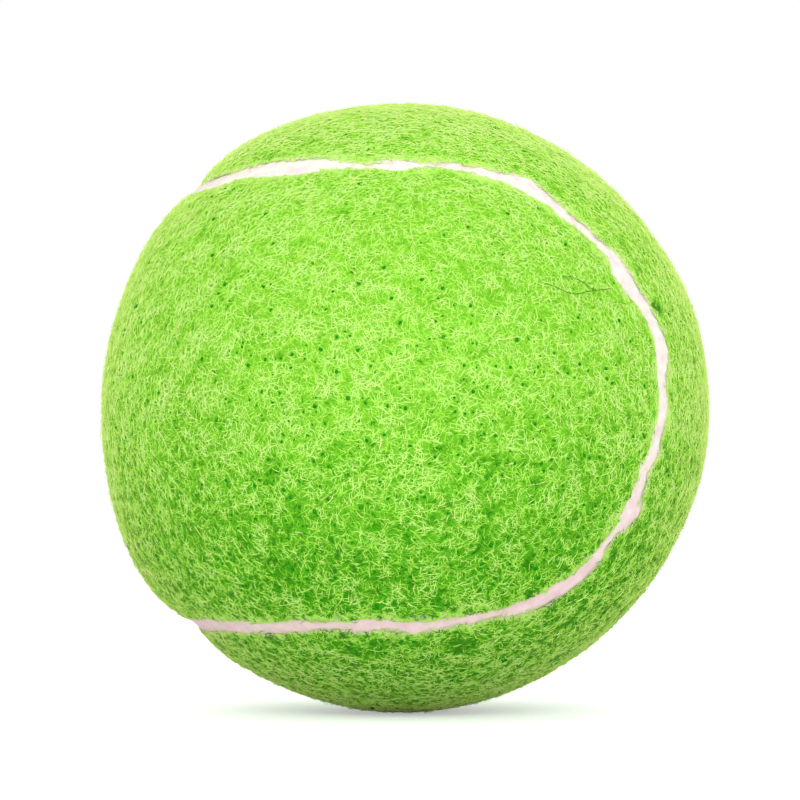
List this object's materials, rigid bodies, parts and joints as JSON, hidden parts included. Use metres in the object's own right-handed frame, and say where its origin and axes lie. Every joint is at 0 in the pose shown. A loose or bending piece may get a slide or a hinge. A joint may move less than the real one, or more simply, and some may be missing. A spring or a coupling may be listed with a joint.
{
  "type": "tennis ball",
  "caption": "Pressurised tennis ball: interlocking yellow-green felt panels and a pale rubber seam, cemented over a hollow moulded rubber core.",
  "frame": {"origin": "centre of the ball", "axes": "+X from the waist of the side panel to the waist of the upright panel, which is the axis the seam turns about; the side panel's round ends face -Y and +Y, and the upright panel's face +Z and -Z"},
  "size_m": [0.067, 0.067, 0.067],
  "materials": {
    "felt": "napped needle felt of wool and nylon fibres, yellow-green",
    "panel_cement": "dried rubber solution, cream, satin",
    "seam_rubber": "vulcanised seam rubber, pale cream, matt",
    "core_cement": "dried rubber solution, tan, satin",
    "core_rubber": "moulded filled natural rubber, dark grey, matt",
    "joint_cement": "cured rubber cement, brown, satin"
  },
  "bodies": {
    "root": {"felt_panel_side": "felt", "felt_panel_upright": "felt", "panel_cement_side": "panel_cement", "panel_cement_upright": "panel_cement", "seam_strip": "seam_rubber", "core_cement": "core_cement", "core_half_upper": "core_rubber", "core_half_lower": "core_rubber", "core_joint_cement": "joint_cement"}
  },
  "joints": []
}
